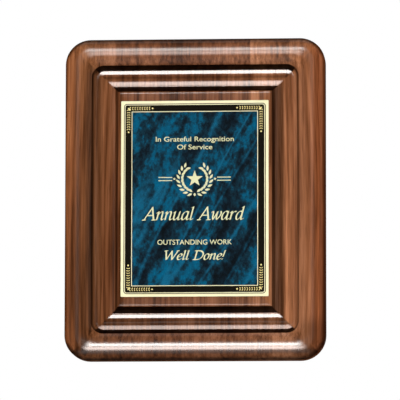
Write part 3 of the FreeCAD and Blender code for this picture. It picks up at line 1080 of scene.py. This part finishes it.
def marble_material():
    """Blue marbling: dark ground, teal clouds drawn out along a slope, and thin bright veins."""
    material, graph, shader = new_material("plate_marble")
    sloped = graph.scaled(graph.place(), (1, 1, 1), turn=(0.0, MARBLE_SLOPE, 0.0))
    stir = graph.speckle((38, 38, 38), 2.0)
    x, y, z = graph.axes(sloped)
    stirred = graph.vector(graph.plus(x, graph.times(stir, 0.02)), y, z)
    drawn = graph.noise(graph.scaled(stirred, (58, 58, 11), (3.1, 0, 0.4)), 3.0, 0.6)
    mottle = graph.speckle((150, 150, 110), 4.0, 0.7, (1.7, 0, 2.0))
    veins = graph.noise(graph.scaled(sloped, (34, 34, 3), (8.3, 0, 1.0)), 1.0, 0.4)
    vein = graph.ease(graph.math("ABSOLUTE", graph.minus(veins, 0.52)), 0.0, 0.035, 1.0, 0.0)
    level = graph.plus(graph.times(drawn, 0.54), graph.times(mottle, 0.46))
    clouds = graph.ramp(graph.ease(level, 0.34, 0.66), MARBLE_CLOUDS)
    strength = graph.times(vein, graph.ease(level, 0.38, 0.56, 0.1, 0.65))
    veined = graph.mix(strength, clouds, MARBLE_VEIN)
    fine = graph.speckle((1300, 1300, 1300), 2.0)
    speck = graph.tone(graph.ease(fine, 0.3, 0.7, 0.72, 1.28))
    graph.feed(shader["Base Color"], graph.mix(1.0, veined, speck, "MULTIPLY"))
    graph.feed(shader["Roughness"], graph.ease(mottle, 0.3, 0.7, 0.5, 0.6))
    shader["Specular IOR Level"].default_value = 0.0
    return material


def zinc_material():
    """Zinc-plated sheet: cool grey with a faint spangle and fine rolling lines."""
    return speckled_material(
        "hanger_zinc",
        colour=((420, 420, 420), 1.0),
        stops=[(0.3, (0.46, 0.48, 0.51)), (0.7, (0.66, 0.67, 0.68))],
        relief=((2600, 2600, 120),),
        roughness=(0.26, 0.44),
        bump=(0.12, 0.0001),
        metallic=1.0,
    )


def passivated_material():
    """Yellow-passivated steel, with the straw and faint green bloom that comes with it."""
    return speckled_material(
        "screw_passivated",
        colour=((520, 520, 520), 2.0, 0.6, (2.0, 1.0, 0)),
        stops=[(0.3, (0.72, 0.52, 0.20)), (0.5, (0.78, 0.66, 0.34)), (0.7, (0.56, 0.62, 0.36))],
        relief=((3000, 3000, 3000), 2.0),
        roughness=(0.24, 0.40),
        bump=(0.10, 0.0001),
        metallic=1.0,
    )


def tape_material():
    """Off-white tissue tape with its fibres just showing."""
    return speckled_material(
        "tape_tissue",
        colour=((900, 900, 260), 4.0, 0.7),
        stops=[(0.3, (0.62, 0.60, 0.53)), (0.7, (0.82, 0.81, 0.76))],
        relief=((900, 900, 260), 4.0, 0.7),
        roughness=(0.62, 0.78),
        bump=(0.25, 0.0001),
    )


def felt_material():
    """Dark brown wool felt: matted fibres, lighter where they catch the light."""
    material, graph, shader = new_material("bumper_felt")
    mat = graph.speckle((1500, 1500, 1500), 4.0, 0.75, distortion=1.2)
    clump = graph.speckle((260, 260, 260), 2.0)
    level = graph.plus(graph.times(mat, 0.7), graph.times(clump, 0.3))
    stops = [(0.35, (0.020, 0.011, 0.007)), (0.65, (0.085, 0.052, 0.034))]
    graph.feed(shader["Base Color"], graph.ramp(level, stops))
    graph.feed(shader["Roughness"], graph.ease(mat, 0.3, 0.7, 0.86, 0.98))
    graph.feed(shader["Normal"], graph.bump(mat, 0.7, 0.0003))
    shader["Specular IOR Level"].default_value = 0.15
    shader["Sheen Weight"].default_value = 0.35
    shader["Sheen Roughness"].default_value = 0.5
    return material


def paper_material():
    """The pale floor, with the faintest unevenness."""
    return speckled_material(
        "floor_paper",
        colour=((3, 3, 3),),
        stops=[(0.3, (0.83, 0.83, 0.82)), (0.7, (0.87, 0.87, 0.86))],
        relief=((3, 3, 3),),
        roughness=(0.58, 0.66),
    )


def dress(piece, material):
    piece.data.materials.clear()
    piece.data.materials.append(material)


# ---- camera, floor and light ----
CAMERA_PLACE = Vector((0.308, -4.290, -0.512))
CAMERA_TARGET = Vector((0.00388, 0.0, 0.00089))
CAMERA_ROLL = 0.0015
LENS = 380.2
SENSOR_WIDTH = 36.0
SIGHT_LIMIT = 50.0
FLOOR_HEIGHT = -0.9
FLOOR_RADIUS = 3.0
FLOOR_SIDES = 96

# far soft lights, all in degrees: azimuth range, elevation range, softness (of the sides, the lower edge and
# the upper edge), then colour and strength.
# Azimuth 0 is straight in front of the plaque, and positive azimuths are to its right.
LIGHTS = (
    ((-10, 2), (8.8, 19.4), (3.0, 0.4, 0.6), (1.0, 0.985, 0.96), 18.0),
    ((-10, 2), (-7.0, 4.9), (3.0, 3.0, 0.4), (1.0, 0.86, 0.80), 14.0),
    ((35, 75), (-20, 50), (8.0, 8.0, 8.0), (1.0, 0.97, 0.93), 1.8),
    ((-75, -35), (-20, 50), (8.0, 8.0, 8.0), (1.0, 0.97, 0.93), 1.8),
    ((-190, 190), (60, 95), (5.0, 8.0, 2.0), (1.0, 1.0, 1.0), 1.2),
    ((135, 168), (-25, 50), (10.0, 10.0, 10.0), (1.0, 1.0, 1.0), 1.2),
    ((-168, -135), (-25, 50), (10.0, 10.0, 10.0), (1.0, 1.0, 1.0), 1.2),
)
AMBIENT = (0.9, 0.93, 1.0)
AMBIENT_STRENGTH = 0.03
LIGHT_MAP_WIDTH = 2048


def build_camera():
    data = bpy.data.cameras.new("camera")
    data.lens = LENS
    data.sensor_width = SENSOR_WIDTH
    data.clip_end = SIGHT_LIMIT
    camera = link("camera", data)
    look = (CAMERA_TARGET - CAMERA_PLACE).to_track_quat("-Z", "Y")
    turn = look.to_matrix().to_4x4() @ Matrix.Rotation(CAMERA_ROLL, 4, "Z")
    camera.matrix_world = Matrix.Translation(CAMERA_PLACE) @ turn
    bpy.context.scene.camera = camera


def build_floor():
    shape = bmesh.new()
    bmesh.ops.create_circle(shape, cap_ends=True, segments=FLOOR_SIDES, radius=FLOOR_RADIUS)
    floor = piece_of("floor", shape)
    floor.location.z = FLOOR_HEIGHT
    dress(floor, paper_material())


def build_light():
    """A white backdrop for the camera, and far soft lights for everything else."""
    world = bpy.context.scene.world or bpy.data.worlds.new("world")
    bpy.context.scene.world = world
    world.use_nodes = True
    graph = Graph(world.node_tree)
    x, y, z = graph.axes(graph.add("TexCoord").outputs["Generated"])
    azimuth = graph.math("DEGREES", graph.math("ARCTAN2", x, graph.times(y, -1.0)))
    elevation = graph.math("DEGREES", graph.math("ARCSINE", z))
    total = graph.mix(1.0, grey(AMBIENT_STRENGTH), AMBIENT, "MULTIPLY")
    for azimuths, elevations, softness, colour, strength in LIGHTS:
        sides, lower, upper = softness
        edges = (
            graph.ease(azimuth, azimuths[0] - sides, azimuths[0] + sides),
            graph.ease(azimuth, azimuths[1] + sides, azimuths[1] - sides),
            graph.ease(elevation, elevations[0] - lower, elevations[0] + lower),
            graph.ease(elevation, elevations[1] + upper, elevations[1] - upper),
        )
        glow = graph.mix(1.0, colour, graph.tone(graph.times(strength, *edges)), "MULTIPLY")
        total = graph.mix(1.0, total, glow, "ADD")
    seen = graph.nodes["Background"]
    seen.inputs["Color"].default_value = (1, 1, 1, 1)
    light = graph.add("Background")
    graph.feed(light.inputs["Color"], total)
    pick = graph.add("MixShader")
    graph.feed(pick.inputs["Fac"], graph.add("LightPath").outputs["Is Camera Ray"])
    graph.feed(pick.inputs[1], light.outputs["Background"])
    graph.feed(pick.inputs[2], seen.outputs["Background"])
    graph.feed(graph.nodes["World Output"].inputs["Surface"], pick.outputs["Shader"])
    world.cycles.sampling_method = "MANUAL"
    world.cycles.sample_map_resolution = LIGHT_MAP_WIDTH


# ---- assembly ----
# each stave's tone, and the steps by which its grain is moved along from its neighbour's
STAVE_TONES = (0.96, 0.88, 0.93, 0.95)
GRAIN_START = 1.0
GRAIN_STEP = 3.1


def build_plate(brass):
    """The layers of the plate's artwork, each with its material."""
    spray_brass = brass_material("spray_brass", (0.68, 0.60, 0.26), (0.76, 0.68, 0.32))
    cut_brass = brass_material("engraved_brass", (0.58, 0.60, 0.37), (0.62, 0.65, 0.44))
    layers = (
        ("plate_black_band", black_band, enamel_material()),
        ("plate_gold_rules", gold_rules, brass),
        ("plate_marble_field", marble_field, marble_material()),
        ("plate_corner_sprays", corner_sprays, spray_brass),
        ("plate_emblem", emblem, cut_brass),
        ("plate_lettering", lettering, cut_brass),
        ("plate_pen_lettering", pen_lettering, cut_brass),
    )
    for name, build, material in layers:
        dress(plate_piece(name, build), material)


def dress_fittings(brass):
    """Materials for the CAD nodes that stay, by how their names start."""
    fittings = {
        "engraving_plate": brass,
        "tape_strip": tape_material(),
        "keyhole_hanger": zinc_material(),
        "hanger_screw": passivated_material(),
        "bumper": felt_material(),
    }
    for name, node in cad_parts.items():
        for start, material in fittings.items():
            if name.startswith(start):
                dress(node, material)


for number, (stave, tone) in enumerate(zip(build_board(), STAVE_TONES)):
    dress_stave(stave, GRAIN_START + GRAIN_STEP * number, tone)
plate_brass = brass_material("plate_brass", (0.70, 0.68, 0.45), (0.76, 0.75, 0.53))
build_plate(plate_brass)
dress_fittings(plate_brass)
build_camera()
build_floor()
build_light()
bpy.context.scene.view_settings.view_transform = "Standard"
